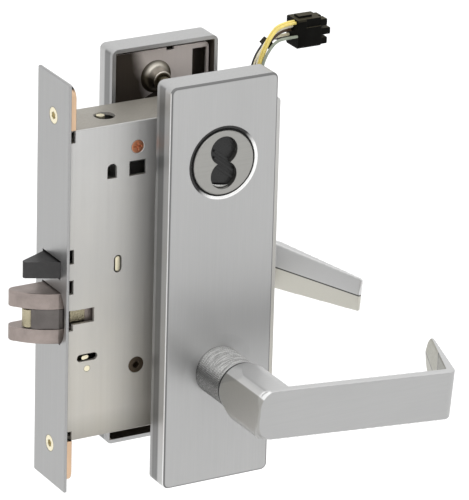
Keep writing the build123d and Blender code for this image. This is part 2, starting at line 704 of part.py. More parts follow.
def lever_bar(reach, stand, tip_radius):
    """Bar along X with a return that tapers towards the door."""
    turn = degrees(atan2(TURN_Y, TURN_X))
    length = sqrt(TURN_X**2 + TURN_Y**2)
    bar = extrude(Pos(-12.0, 0, 0) * bar_section(stand, 0), amount=reach + 24.0, dir=(1, 0, 0))
    corner = Pos(reach, -stand, 0)
    inner = Pos(0, BAR_T, 0) * Rot(0, 0, -TAPER) * Pos(0, stand - BAR_T, 0)
    arm = inner * extrude(Pos(-14.0, 0, 0) * bar_section(stand, 9), amount=length + 20.0, dir=(1, 0, 0))
    arm &= block((-20, length + 9), (0, 40), (-40, 40))
    arm &= return_outline(length, tip_radius)
    side = corner * Rot(0, 0, turn / 2)
    before = side * Pos(-100, 0, 0) * Box(200, 400, 100)
    after = side * Pos(100, 0, 0) * Box(200, 400, 100)
    whole = (bar & before) + (corner * Rot(0, 0, turn) * arm & after)
    return whole & plan_outline(reach, stand)


def lever_neck(stand):
    """Neck that is round at its seam with the collar and grows square towards the bar."""
    low, high = -LEVER_H / 2, LEVER_H / 2
    neck = block((NECK_LEFT, NECK_RIGHT), (-stand + 1.5, -BUSH_END - 0.2), (low, high))
    neck = fillet(neck.edges().filter_by(Axis.Y).sort_by(Axis.X)[:2], 4.0)
    neck = fillet(neck.edges().filter_by(Axis.Y).sort_by(Axis.X)[-2:], 10.0)
    return neck & cone_y(0, -LEVER_LIFT, 21.5, BUSHING_R - 0.1, -stand, -BUSH_END - 0.2)


def lever_web(stand):
    """Concave web between the neck and the back of the bar, tallest at its foot."""
    y0, foot, top = -stand + BAR_T - 0.6, NECK_RIGHT + WEB_R, LEVER_H / 2 - 0.8
    points = ((6, 7), (NECK_RIGHT, 7), (NECK_RIGHT + 5, top), (foot, top))
    points += tuple((x, -z) for x, z in reversed(points))
    web = prism_y(points, 200) & block((6, foot), (y0, y0 + WEB_R), (-top, top))
    return web - rod_z(foot, y0 + WEB_R, WEB_R, -20, 20)


def lever(reach, stand, tip_radius):
    """Lever with its neck and shank, drooped and set on the hub axis."""
    half = LEVER_H / 2
    outline = block((NECK_LEFT, reach + 40), (-stand - 1, 0), (-half, half))
    outline = fillet(outline.edges().filter_by(Axis.Y).sort_by(Axis.X)[:2], BAR_CORNER)
    shape = (lever_bar(reach, stand, tip_radius) & outline) + lever_neck(stand) + lever_web(stand)
    shape = Pos(0, 0, LEVER_LIFT) * shape
    shape += rod_y(0, 0, 7.92, -BUSH_END - 3.0, -38.0)
    pocket = SPINDLE / 2 + FIT
    shape -= Rot(0, -LEVER_DROOP, 0) * block((-pocket, pocket), (-51.2, -30.0), (-pocket, pocket))
    return Pos(BACKSET, 0, HUB_Z) * Rot(0, LEVER_DROOP, 0) * shape


# ---- wires --------------------------------------------------------------
WIRE_R = 0.72
PLUG_X = 125.0
PLUG_HALF = 5.6
PLUG_LOW, PLUG_HIGH = 97.4, 111.2
WIRES = {
    "wire_black": (4.8, ((107.8, 92.4), (111.2, 97.6), (115.2, 101.4), (120.6, 100.0))),
    "wire_cream": (3.2, ((107.8, 92.4), (111.2, 97.6), (115.2, 101.4), (120.2, 102.2))),
    "wire_brown": (1.6, ((107.8, 92.4), (111.2, 97.6), (115.2, 101.4), (119.9, 105.0))),
    "wire_white": (0.0, ((106.8, 92.6), (109.2, 99.0), (113.4, 103.8), (119.2, 107.2))),
    "wire_yellow_a": (-1.6, ((106.6, 92.6), (108.9, 99.2), (112.2, 105.4), (117.2, 110.0))),
    "wire_yellow_b": (-3.2, ((106.6, 92.6), (109.0, 99.0), (112.1, 105.2), (117.0, 109.6))),
    "wire_grey": (-4.8, ((106.8, 92.8), (109.8, 98.6), (114.0, 102.9), (119.6, 103.4))),
}


def wire_route(name):
    """Corner points of one wire: up from the grommet, over, and level into the plug."""
    y, middle = WIRES[name]
    rise = ((WIRE_EXIT, WIRE_TOP), (WIRE_EXIT, WIRE_TOP + 6.7))
    level = ((PLUG_X, middle[-1][1]),)
    return [(x, y, z) for x, z in rise + middle + level]


def corner_radii(points):
    """Largest tangent arc that each corner's two runs allow."""
    radii = []
    for a, b, c in zip(points, points[1:], points[2:]):
        first, second = Vector(*b) - Vector(*a), Vector(*c) - Vector(*b)
        half_turn = radians(first.get_angle(second)) / 2
        radii.append(0.45 * min(first.length, second.length) / tan(half_turn))
    return radii


def wire(name):
    """Round wire along its route."""
    points = wire_route(name)
    radii = corner_radii(points)
    path = FilletPolyline(*points, radius=radii)
    section = Plane(origin=path @ 0, z_dir=path % 0) * Circle(WIRE_R)
    tube = sweep(section, path=path)
    expected = section.area * path.length
    report = " ".join(f"{r:.1f}" for r in radii)
    print(f"{name}: length {path.length:.2f}, volume {tube.volume:.2f} of {expected:.2f}, radii {report}")
    return tube


def wire_tie():
    """Flat tape band round the three wires of the far side."""
    band = Box(3.6, 5.8, 3.4) - Box(2.8, 4.9, 6.0)
    band = fillet(band.edges().filter_by(Axis.Z), 0.3)
    return Pos(113.2, 3.2, 99.5) * Rot(0, 46.5, 0) * band


def plug_housing():
    """Black crimp connector with three rows of keyed fingers."""
    end = PLUG_X + 12.5
    shell = block((PLUG_X, end), (-PLUG_HALF, PLUG_HALF), (PLUG_LOW, PLUG_HIGH))
    shell = chamfer(shell.edges().filter_by(Axis.X), 0.7)
    shell -= block((PLUG_X + 4.5, end + 1), (-PLUG_HALF - 1, -PLUG_HALF + 0.9), (PLUG_HIGH - 4.0, PLUG_HIGH + 1))
    shell += block((PLUG_X + 2.0, PLUG_X + 9.0), (-2.2, 2.2), (PLUG_HIGH, PLUG_HIGH + 1.1))
    for z, reach in ((108.6, 3.6), (104.1, 5.4), (99.6, 3.8)):
        for y in (-2.9, 2.9):
            finger = block((end, end + reach), (y - 2.1, y + 2.1), (z - 1.6, z + 1.6))
            finger = chamfer(finger.faces().sort_by(Axis.X)[-1].outer_wire().edges(), 0.5)
            shell += finger
            shell -= rod_x(y, z, 1.0, end - 2.0, end + reach + 1)
    return shell


def main():
    keep("armor_front", armor_front())
    keep("lock_front", lock_front())
    keep("armor_screws", armor_screws())
    keep("front_screws", front_screws())
    keep("case_box", case_box())
    keep("case_cover", case_cover())
    keep("cover_screws", cover_screws())
    keep("case_rivets", case_rivets())
    keep("stop_screw", stop_screw())
    keep("top_link", top_link())
    keep("latchbolt", latchbolt())
    keep("latch_tail", latch_tail())
    keep("latch_spring", latch_spring())
    keep("stem_guides", stem_guides())
    keep("anti_friction_tongue", tongue())
    keep("tongue_nose", tongue_nose())
    keep("tongue_pin", tongue_pin())
    keep("tongue_spring", tongue_spring())
    keep("aux_latch", aux_latch())
    keep("aux_spring", aux_spring())
    keep("outside_hub", hub(OUTSIDE_ARM))
    keep("inside_hub", mirror_y(hub(INSIDE_ARM)))
    keep("outside_spindle", square_spindle())
    keep("inside_spindle", mirror_y(square_spindle()))
    keep("cylinder_housing", cylinder_housing())
    keep("core_blank", core_blank())
    keep("cylinder_collar", cylinder_collar())
    keep("cylinder_cam", cylinder_cam())
    keep("cylinder_clamp_screw", cylinder_clamp_screw())
    keep("key_lever", key_lever())
    keep("key_lever_post", key_lever_post())
    keep("solenoid_frame", solenoid_frame())
    keep("solenoid_coil", solenoid_coil())
    keep("solenoid_plunger", solenoid_plunger())
    keep("plunger_spring", plunger_spring())
    keep("locking_bar", locking_bar())
    keep("terminal_board", terminal_board())
    keep("wire_grommet", wire_grommet())
    keep("outside_escutcheon", escutcheon(True))
    keep("inside_escutcheon", mirror_y(escutcheon(False)))
    keep("outside_mounting_plate", mounting_plate())
    keep("inside_mounting_plate", mirror_y(mounting_plate()))
    keep("plate_screws", plate_screws())
    keep("inside_posts", inside_posts())
    keep("outside_posts", outside_posts())
    keep("through_bolts", through_bolts())
    keep("spring_cages", spring_cage() + mirror_y(spring_cage()))
    keep("lever_return_springs", return_spring() + mirror_y(return_spring()))
    keep("lever_bushings", bushing() + mirror_y(bushing()))
    keep("outside_lever", lever(OUT_REACH, OUT_STAND, OUT_TIP_R))
    keep("inside_lever", mirror_y(lever(IN_REACH, IN_STAND, IN_TIP_R)))
    for name in WIRES:
        keep(name, wire(name))
    keep("wire_tie", wire_tie())
    keep("plug_housing", plug_housing())
    print(len(NODES), "nodes")


if __name__ == "__main__":
    main()
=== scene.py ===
import json
import math

import bmesh
import bpy
from mathutils import Matrix, Vector


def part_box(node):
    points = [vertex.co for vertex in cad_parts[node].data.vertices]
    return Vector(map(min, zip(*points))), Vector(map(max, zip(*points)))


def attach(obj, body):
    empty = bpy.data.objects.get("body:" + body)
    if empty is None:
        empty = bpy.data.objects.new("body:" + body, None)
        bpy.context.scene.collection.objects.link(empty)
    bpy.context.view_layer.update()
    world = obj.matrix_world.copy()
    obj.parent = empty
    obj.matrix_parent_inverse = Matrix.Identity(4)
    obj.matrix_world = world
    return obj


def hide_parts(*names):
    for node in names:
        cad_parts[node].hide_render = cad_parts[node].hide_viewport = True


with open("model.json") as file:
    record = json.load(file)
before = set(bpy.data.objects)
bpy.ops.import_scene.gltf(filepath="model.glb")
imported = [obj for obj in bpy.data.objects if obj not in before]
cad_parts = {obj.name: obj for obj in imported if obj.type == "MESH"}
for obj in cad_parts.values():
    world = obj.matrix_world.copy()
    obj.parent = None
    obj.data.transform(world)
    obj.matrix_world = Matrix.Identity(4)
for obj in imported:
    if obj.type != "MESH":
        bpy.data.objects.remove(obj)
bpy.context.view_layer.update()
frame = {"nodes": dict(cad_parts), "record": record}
nodes = frame["nodes"]
MM = 0.001

# ---- camera and cords -----------------------------------------------------
AZIMUTH, ELEVATION, ROLL = math.radians(-29.605), math.radians(21.761), math.radians(1.606)
AIM = Vector((0.08583, -0.020, 0.00829))
DISTANCE = 2.1538
LENS = 331.3
FAR_CLIP = 20.0


def add_camera():
    """Camera at the picture's angle, looking at the middle of the lock."""
    level = math.cos(ELEVATION)
    back = Vector((level * math.sin(AZIMUTH), -level * math.cos(AZIMUTH), math.sin(ELEVATION)))
    side = Vector((math.cos(AZIMUTH), math.sin(AZIMUTH), 0.0))
    right = Matrix.Rotation(ROLL, 3, back) @ side
    up = back.cross(right)
    data = bpy.data.cameras.new("camera")
    data.lens = LENS
    data.clip_end = FAR_CLIP
    camera = bpy.data.objects.new("camera", data)
    turn = Matrix((right, up, back)).transposed().to_4x4()
    camera.matrix_world = Matrix.Translation(AIM + back * DISTANCE) @ turn
    bpy.context.scene.collection.objects.link(camera)
    bpy.context.scene.camera = camera


add_camera()

# Wires, in millimetres: each one's Y, the middle of its route in X and Z, and its length.
WIRE_R = 0.72
LEAD_STEPS = 16
PLUG_X = 125.0
RISE = ((106.0, 79.3), (106.0, 86.0))
WIRES = {
    "wire_black": (4.8, ((107.8, 92.4), (111.2, 97.6), (115.2, 101.4), (120.6, 100.0)), 34.5),
    "wire_cream": (3.2, ((107.8, 92.4), (111.2, 97.6), (115.2, 101.4), (120.2, 102.2)), 34.7),
    "wire_brown": (1.6, ((107.8, 92.4), (111.2, 97.6), (115.2, 101.4), (119.9, 105.0)), 35.8),
    "wire_white": (0.0, ((106.8, 92.6), (109.2, 99.0), (113.4, 103.8), (119.2, 107.2)), 38.8),
    "wire_yellow_a": (-1.6, ((106.6, 92.6), (108.9, 99.2), (112.2, 105.4), (117.2, 110.0)), 41.6),
    "wire_yellow_b": (-3.2, ((106.6, 92.6), (109.0, 99.0), (112.1, 105.2), (117.0, 109.6)), 41.3),
    "wire_grey": (-4.8, ((106.8, 92.8), (109.8, 98.6), (114.0, 102.9), (119.6, 103.4)), 36.8),
}


def wire_slot(name):
    """The colour slot of a wire. Two wires share yellow."""
    return "wire_yellow" if "yellow" in name else name


def wire_curve(name, y, middle, length):
    """One insulated lead from the grommet to the plug."""
    route = [(x * MM, y * MM, z * MM) for x, z in RISE + middle + ((PLUG_X, middle[-1][1]),)]
    data = bpy.data.curves.new(name + "_lead", "CURVE")
    data.dimensions = "3D"
    data.bevel_depth = WIRE_R
    data.bevel_resolution = 5
    data.use_fill_caps = True
    spline = data.splines.new("NURBS")
    spline.points.add(len(route) - 1)
    for point, place in zip(spline.points, route):
        point.co = (*place, 1.0)
        point.radius = MM
    spline.order_u = 3
    spline.use_endpoint_u = True
    spline.resolution_u = LEAD_STEPS
    piece = bpy.data.objects.new(name + "_lead", data)
    bpy.context.scene.collection.objects.link(piece)
    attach(piece, "lock")
    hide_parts(name)
    return piece


leads = {name: wire_curve(name, *facts) for name, facts in WIRES.items()}


# ---- materials ------------------------------------------------------------
class Recipe:
    """A material under construction: short calls that add and join its nodes."""

    def __init__(self, name, metallic=0.0, roughness=0.5, edge=0.00035):
        self.material = bpy.data.materials.new(name)
        self.material.use_nodes = True
        self.tree = self.material.node_tree
        self.shader = self.tree.nodes["Principled BSDF"]
        self.shader.inputs["Metallic"].default_value = metallic
        self.shader.inputs["Roughness"].default_value = roughness
        self.place = self.tree.nodes.new("ShaderNodeTexCoord").outputs["Object"]
        bevel = self.tree.nodes.new("ShaderNodeBevel")
        bevel.samples = 4
        bevel.inputs["Radius"].default_value = edge
        self.rounded = bevel.outputs["Normal"]

    def stretched(self, scale):
        """Object coordinates multiplied by a scale for each axis."""
        node = self.tree.nodes.new("ShaderNodeMapping")
        node.inputs["Scale"].default_value = scale
        self.tree.links.new(self.place, node.inputs["Vector"])
        return node.outputs["Vector"]

    def noise(self, scale, detail=4.0, rough=0.55):
        """Cloudy noise with its own scale along each axis."""
        node = self.tree.nodes.new("ShaderNodeTexNoise")
        node.inputs["Scale"].default_value = 1.0
        node.inputs["Detail"].default_value = detail
        node.inputs["Roughness"].default_value = rough
        self.tree.links.new(self.stretched(scale), node.inputs["Vector"])
        return node.outputs["Fac"]

    def ramp(self, value, low, high, start=0.0, end=1.0):
        """A value from low to high as the input goes from start to end."""
        node = self.tree.nodes.new("ShaderNodeMapRange")
        self.tree.links.new(value, node.inputs["Value"])
        node.inputs["From Min"].default_value = start
        node.inputs["From Max"].default_value = end
        node.inputs["To Min"].default_value = low
        node.inputs["To Max"].default_value = high
        return node.outputs["Result"]

    def mix(self, factor, first, second):
        """A colour between two others. Each is a colour or another node's output."""
        node = self.tree.nodes.new("ShaderNodeMix")
        node.data_type = "RGBA"
        self.feed(factor, node.inputs[0])
        self.feed(first, node.inputs[6])
        self.feed(second, node.inputs[7])
        return node.outputs[2]

    def maths(self, operation, first, second):
        """One arithmetic step on two values."""
        node = self.tree.nodes.new("ShaderNodeMath")
        node.operation = operation
        self.feed(first, node.inputs[0])
        self.feed(second, node.inputs[1])
        return node.outputs[0]

    def feed(self, value, socket):
        """Joins another node's output to a socket, or sets the socket to a number or a colour."""
        if isinstance(value, bpy.types.NodeSocket):
            self.tree.links.new(value, socket)
        elif isinstance(value, tuple) and len(value) == 3:
            socket.default_value = (*value, 1.0)
        else:
            socket.default_value = value

    def along(self, axis):
        """One coordinate, 0 to 2 for X to Z."""
        node = self.tree.nodes.new("ShaderNodeSeparateXYZ")
        self.tree.links.new(self.place, node.inputs[0])
        return node.outputs[axis]

    def edges(self, low=0.80, high=0.985):
        """1 on sharp edges and 0 elsewhere, from how far a rounded edge would turn the surface."""
        surface = self.tree.nodes.new("ShaderNodeNewGeometry")
        node = self.tree.nodes.new("ShaderNodeVectorMath")
        node.operation = "DOT_PRODUCT"
        self.tree.links.new(surface.outputs["Normal"], node.inputs[0])
        self.tree.links.new(self.rounded, node.inputs[1])
        return self.ramp(node.outputs["Value"], 1.0, 0.0, low, high)

    def facing(self, axis, signed=False):
        """How far the surface faces along one axis: -1 to 1, or 0 to 1 whichever way it looks."""
        surface = self.tree.nodes.new("ShaderNodeNewGeometry")
        node = self.tree.nodes.new("ShaderNodeSeparateXYZ")
        self.tree.links.new(surface.outputs["Normal"], node.inputs[0])
        return node.outputs[axis] if signed else self.maths("ABSOLUTE", node.outputs[axis], 0.0)

    def from_middle(self, axis, middle=0.0):
        """Distance from a plane across one axis, on either side of it."""
        return self.maths("ABSOLUTE", self.maths("SUBTRACT", self.along(axis), middle), 0.0)

    def below(self, value, limit):
        """1 where a value is below a limit."""
        return self.maths("LESS_THAN", value, limit)

    def above(self, value, limit):
        """1 where a value is above a limit."""
        return self.maths("GREATER_THAN", value, limit)

    def all_of(self, first, *others):
        """The product of several masks."""
        for other in others:
            first = self.maths("MULTIPLY", first, other)
        return first

    def band(self, value, start, end, soft):
        """1 while a value is between start and end, with soft limits."""
        rise = self.ramp(value, 0.0, 1.0, start - soft, start + soft)
        return self.maths("MULTIPLY", rise, self.ramp(value, 1.0, 0.0, end - soft, end + soft))

    def colour(self, value):
        self.feed(value, self.shader.inputs["Base Color"])

    def roughness(self, value):
        self.feed(value, self.shader.inputs["Roughness"])

    def bump(self, height, distance, strength=1.0):
        """Adds one more layer of surface relief, with its depth in metres."""
        node = self.tree.nodes.new("ShaderNodeBump")
        node.inputs["Distance"].default_value = distance
        node.inputs["Strength"].default_value = strength
        self.tree.links.new(height, node.inputs["Height"])
        socket = self.shader.inputs["Normal"]
        below = socket.links[0].from_socket if socket.is_linked else self.rounded
        self.tree.links.new(below, node.inputs["Normal"])
        self.tree.links.new(node.outputs["Normal"], socket)


X, Y, Z = 0, 1, 2
SATIN = (0.46, 0.46, 0.458)
COPPER = (0.74, 0.52, 0.35)
# Painted shade inside an escutcheon's hollow.
HOLLOW_SHADE = (0.10, 0.085, 0.07)
CASE_DULL = (0.37, 0.35, 0.31)
POST_DARK = (0.07, 0.058, 0.04)
# Black painted shade along the far edge of the lock front's top.
EDGE_SHADE = (0.006, 0.006, 0.006)
# Painted dark reflection on a mounting plate.
PLATE_DARK_REFLECTION = (0.055, 0.043, 0.033)
BRUSH_GRAIN = 4200.0
BRUSH_DEPTH = 0.000006


def shade(colour, factor):
    """A colour made lighter or darker."""
    return tuple(channel * factor for channel in colour)


def tinted(colour, shares):
    """A colour with its own factor for each channel."""
    return tuple(channel * share for channel, share in zip(colour, shares))


def brushed(name, colour, along, rough=0.36, metallic=1.0, layers=()):
    """Satin metal with fine brush lines along one axis, under layers of other tones."""
    recipe = Recipe(name, metallic=metallic)
    scale = [BRUSH_GRAIN] * 3
    scale[along] = BRUSH_GRAIN / 90
    lines = recipe.noise(tuple(scale), detail=3.0, rough=0.6)
    scale[along] = BRUSH_GRAIN / 500
    streaks = recipe.noise(tuple(channel * 0.22 for channel in scale), detail=2.0)
    cloud = recipe.noise((22, 22, 14), detail=3.0)
    tone = recipe.mix(recipe.ramp(lines, 0.25, 0.75, 0.3, 0.7), shade(colour, 0.93), shade(colour, 1.05))
    tone = recipe.mix(recipe.ramp(cloud, 0.0, 0.35, 0.35, 0.75), tone, shade(colour, 0.88))
    # Painted shade: a dark line along sharp edges.
    tone = recipe.mix(recipe.edges(), tone, shade(colour, 0.55))
    for layer in layers:
        tone = layer(recipe, tone, colour)
    recipe.colour(tone)
    spread = recipe.maths("ADD", recipe.ramp(streaks, -0.05, 0.06, 0.3, 0.7), rough)
    recipe.roughness(spread)
    recipe.bump(lines, BRUSH_DEPTH)
    return recipe.material


# An escutcheon: its middle and half width along X, its half height, and depths from mid door along Y.
TRIM_MIDDLE = 0.06985
TRIM_HALF = 0.0261
TRIM_TALL = 0.0981
TRIM_INNER_FACE = 0.0339
# Depths of a side wall's painted highlight band and of the lighter painted shade at its foot.
WALL_HIGHLIGHT = (0.0298, 0.0352)
WALL_FOOT_SHADE = (0.0215, 0.0245)


def trim_walls(recipe, tone, colour):
    """Side walls of an escutcheon in painted shade, with a painted highlight band towards the front and
    lighter painted shade at the foot.
    """
    deep = recipe.from_middle(Y)
    wall = recipe.ramp(recipe.facing(X), 0.0, 1.0, 0.8, 0.95)
    wall_shading = recipe.mix(recipe.band(deep, *WALL_HIGHLIGHT, 0.0006), shade(colour, 0.42), shade(colour, 1.05))
    wall_shading = recipe.mix(recipe.band(deep, *WALL_FOOT_SHADE, 0.0005), wall_shading, shade(colour, 0.75))
    return recipe.mix(wall, tone, wall_shading)


def trim_edges(recipe, tone, colour):
    """Painted highlight and painted dark line along the rounded front edge of an escutcheon, painted shade
    all along its top.
    """
    front = recipe.facing(Y)
    tone = recipe.mix(recipe.band(front, 0.08, 0.55, 0.06), tone, shade(colour, 1.9))
    tone = recipe.mix(recipe.band(front, 0.62, 0.97, 0.03), tone, shade(colour, 0.35))
    upper = recipe.ramp(recipe.facing(Z, signed=True), 0.0, 1.0, 0.12, 0.35)
    upper = recipe.all_of(upper, recipe.band(front, 0.10, 0.975, 0.02))
    return recipe.mix(upper, tone, shade(colour, 0.38))


def trim_inside(recipe, tone, colour):
    """Inner walls of an escutcheon, darkened with painted shade inside its hollow."""
    across = recipe.below(recipe.from_middle(X, TRIM_MIDDLE), TRIM_HALF)
    deep = recipe.below(recipe.from_middle(Y), TRIM_INNER_FACE)
    tall = recipe.below(recipe.from_middle(Z), TRIM_TALL)
    return recipe.mix(recipe.all_of(across, deep, tall), tone, HOLLOW_SHADE)


# A lever: its turning axis, how much its bar falls along X, and where its parts start.
LEVER_AXIS = Vector((0.06985, 0.0, -0.0427))
LEVER_FALL = 0.084
# Half width of the painted dark line along a lever's ridge.
RIDGE_HALF = 0.00032
BAR_START = 0.082
RETURN_START = 0.14
COLLAR_SEAM = 0.0578
SEAM_REACH = 0.0135
# Slope of the painted crease on a lever's neck, and the heights over which its painted shade strengthens
# upwards.
NECK_CREASE_SLOPE = 0.95
NECK_LOW, NECK_HIGH = -0.056, -0.036
# The painted crease on the outside lever's return: a point on it in Y and Z, and its slope.
FACET_Y, FACET_Z, FACET_SLOPE = -0.0547, -0.0305, 1.28


def lever_top(recipe, tone, colour):
    """Painted highlight on the upper edges of a lever."""
    upper = recipe.ramp(recipe.facing(Z, signed=True), 0.0, 1.0, 0.35, 0.8)
    return recipe.mix(upper, tone, shade(colour, 1.25))


def lever_ridge(recipe, tone, colour):
    """Door side of a lever: painted shade as a dark line along its ridge, and on the inside lever a warm
    painted reflection with a painted highlight on its upper facet.
    """
    fall = recipe.maths("MULTIPLY", recipe.maths("SUBTRACT", recipe.along(X), LEVER_AXIS.x), LEVER_FALL)
    height = recipe.maths("ADD", recipe.maths("SUBTRACT", recipe.along(Z), LEVER_AXIS.z), fall)
    line = recipe.band(recipe.maths("ABSOLUTE", height, 0.0), -0.001, RIDGE_HALF, 0.00012)
    side = recipe.maths("SIGN", recipe.along(Y), 0.0)
    doorward = recipe.below(recipe.maths("MULTIPLY", recipe.facing(Y, signed=True), side), -0.2)
    inner = recipe.all_of(doorward, recipe.above(recipe.along(X), BAR_START))
    indoors = recipe.all_of(inner, recipe.above(recipe.along(Y), 0.0))
    upper = recipe.all_of(indoors, recipe.ramp(height, 0.0, 1.0, 0.0, 0.0004))
    tone = recipe.mix(indoors, tone, tinted(colour, (1.25, 1.22, 1.10)))
    tone = recipe.mix(upper, tone, shade(colour, 1.45))
    return recipe.mix(recipe.all_of(line, inner), tone, shade(colour, 0.10))


def lever_return(recipe, tone, colour):
    """Painted shade, warm-tinted, on the inner side of the outside lever's return, with a painted crease at
    its free end: a darker and a lighter painted facet split by a painted dark line.
    """
    inner = recipe.below(recipe.facing(X, signed=True), -0.35)
    outside = recipe.below(recipe.along(Y), 0.0)
    inner = recipe.all_of(inner, recipe.above(recipe.along(X), RETURN_START), outside)
    rise = recipe.maths("MULTIPLY", recipe.maths("SUBTRACT", recipe.along(Z), FACET_Z), FACET_SLOPE)
    past = recipe.maths("SUBTRACT", recipe.maths("SUBTRACT", recipe.along(Y), FACET_Y), rise)
    facet = recipe.ramp(past, 0.0, 1.0, -0.0002, 0.0002)
    metal = recipe.mix(facet, tinted(colour, (0.54, 0.53, 0.46)), tinted(colour, (0.78, 0.76, 0.64)))
    metal = recipe.mix(recipe.band(past, -0.0016, 0.0002, 0.0003), metal, shade(colour, 0.16))
    return recipe.mix(inner, tone, metal)


def lever_neck(recipe, tone, colour):
    """Neck of a lever: painted shade on its left side under a painted sharp crease, and a painted highlight
    on the flat above it.
    """
    left = recipe.maths("SUBTRACT", LEVER_AXIS.x, recipe.along(X))
    rise = recipe.maths("SUBTRACT", recipe.along(Z), LEVER_AXIS.z)
    under = recipe.maths("SUBTRACT", recipe.maths("MULTIPLY", left, NECK_CREASE_SLOPE), rise)
    under = recipe.ramp(under, 0.0, 1.0, -0.0002, 0.0006)
    past_seam = recipe.above(recipe.from_middle(Y), COLLAR_SEAM)
    leftward = recipe.ramp(recipe.facing(X, signed=True), 1.0, 0.0, -0.30, -0.12)
    neck = recipe.all_of(past_seam, recipe.ramp(left, 0.0, 1.0, 0.003, 0.006), leftward)
    fall = recipe.ramp(recipe.along(Z), 0.35, 1.0, NECK_LOW, NECK_HIGH)
    flat = recipe.all_of(neck, recipe.maths("SUBTRACT", 1.0, under))
    tone = recipe.mix(flat, tone, shade(colour, 1.75))
    return recipe.mix(recipe.all_of(neck, under, fall), tone, tinted(colour, (0.76, 0.75, 0.71)))


def dark_seam(recipe, tone, colour):
    """Dark line round the seam between a collar and its lever."""
    seam = recipe.band(recipe.from_middle(Y), COLLAR_SEAM - 0.0007, COLLAR_SEAM + 0.0006, 0.00015)
    near = recipe.below(recipe.from_middle(X, LEVER_AXIS.x), SEAM_REACH)
    return recipe.mix(recipe.all_of(seam, near), tone, shade(colour, 0.12))


def knurl_sparkle(recipe, tone, colour):
    """Painted glints and dark flecks of painted shade on a knurled surface, a band of painted shade below
    its top, and a painted streaked reflection on its top.
    """
    flecks = recipe.noise((1500, 1500, 1500), detail=3.0, rough=0.75)
    tone = recipe.mix(recipe.ramp(flecks, 0.0, 0.8, 0.46, 0.62), tone, shade(colour, 2.1))
    tone = recipe.mix(recipe.ramp(flecks, 0.8, 0.0, 0.38, 0.5), tone, shade(colour, 0.42))
    upper = recipe.facing(Z, signed=True)
    waves = recipe.noise((170, 2000, 170), detail=3.0, rough=0.7)
    streaks = recipe.ramp(waves, 0.0, 1.0, 0.40, 0.60)
    polished = recipe.mix(streaks, shade(colour, 1.7), shade(colour, 4.4))
    tone = recipe.mix(recipe.band(upper, 0.12, 0.40, 0.10), tone, shade(colour, 0.45))
    return recipe.mix(recipe.ramp(upper, 0.0, 0.85, 0.40, 0.70), tone, polished)


# Where the cylinder's ring turns from shadow to polish, as X minus Z.
RIM_SHADE_END, RIM_SHINE_START = 0.0085, 0.020


def rim_shine(recipe, tone, colour):
    """Polished lower right part of the ring round the cylinder. The rest is in shadow."""
    across = recipe.maths("SUBTRACT", recipe.along(X), recipe.along(Z))
    dim = recipe.ramp(across, 1.0, 0.0, RIM_SHADE_END, RIM_SHINE_START)
    return recipe.mix(dim, tone, shade(colour, 0.05))


# Heights between which a plated sheet goes from its tint to its colour.
LOWEST, HIGHEST = -0.085, 0.09


def plated(name, colour, tint=None, rough=0.42, metallic=0.92, edge=0.35, masks=()):
    """Zinc-plated sheet with clouds, rolling lines and speckle. A tint takes over towards its foot."""
    tint = tint or colour
    recipe = Recipe(name, metallic=metallic)
    cloud = recipe.noise((38, 38, 26), detail=5.0)
    speckle = recipe.noise((2600, 2600, 2600), detail=2.0, rough=0.7)
    rolled = recipe.noise((900, 900, 16), detail=2.0)
    height = recipe.ramp(recipe.along(Z), 1.0, 0.0, LOWEST, HIGHEST)
    tone = recipe.mix(height, colour, tint)
    tone = recipe.mix(recipe.ramp(cloud, 0.0, 0.5, 0.4, 0.75), tone, shade(colour, 0.86))
    tone = recipe.mix(recipe.ramp(speckle, 0.0, 0.5, 0.62, 0.8), tone, shade(colour, 1.15))
    for mask in masks:
        factor, other = mask(recipe)
        tone = recipe.mix(factor, tone, recipe.mix(cloud, other, shade(other, 0.7)))
    # Painted line along sharp edges: painted shade where edge is under 1, a painted highlight where it is
    # over 1.
    tone = recipe.mix(recipe.edges(), tone, shade(tint, edge))
    recipe.colour(tone)
    recipe.roughness(recipe.ramp(rolled, rough - 0.06, rough + 0.08, 0.3, 0.7))
    recipe.bump(speckle, 0.000004)
    recipe.bump(cloud, 0.00006, 0.4)
    return recipe.material


# Darker foot of the case, its half height, the lock front's far edge, and the part of a plate that gets a
# painted dark reflection.
CASE_FOOT_LOW, CASE_FOOT_HIGH = -0.0765, -0.064
CASE_TALL = 0.0768
FRONT_BACK = 0.0041
REFLECTION_START, REFLECTION_END = 0.0845, 0.0915


def case_shade(recipe):
    """1 on the darker top of the case and towards its darker lower edge."""
    top = recipe.ramp(recipe.facing(Z, signed=True), 0.0, 1.0, 0.7, 0.9)
    low = recipe.ramp(recipe.along(Z), 0.75, 0.0, CASE_FOOT_LOW, CASE_FOOT_HIGH)
    return recipe.maths("MAXIMUM", top, low), CASE_DULL


def post_shade(recipe):
    """1 on the sides and underside of a post, which stay dark."""
    return recipe.ramp(recipe.facing(Z, signed=True), 1.0, 0.0, 0.05, 0.75), POST_DARK


def beyond_case(recipe):
    """1 on the copper-toned ends of the lock front, above and below the case."""
    return recipe.above(recipe.from_middle(Z), CASE_TALL), COPPER


def far_edge_shade(recipe):
    """1 along the far edge of the lock front's top, which is painted black as shade."""
    top = recipe.ramp(recipe.facing(Z, signed=True), 0.0, 1.0, 0.6, 0.9)
    return recipe.all_of(top, recipe.above(recipe.along(X), FRONT_BACK)), EDGE_SHADE


def plate_reflection(recipe):
    """1 on the part of a mounting plate nearest the door edge, which gets a painted dark reflection."""
    wobble = recipe.noise((60, 60, 60), detail=3.0)
    reach = recipe.maths("ADD", recipe.along(X), recipe.maths("MULTIPLY", wobble, 0.006))
    reach = recipe.maths("ADD", reach, recipe.maths("MULTIPLY", recipe.along(Z), 0.3))
    return recipe.ramp(reach, 1.0, 0.0, REFLECTION_START, REFLECTION_END), PLATE_DARK_REFLECTION


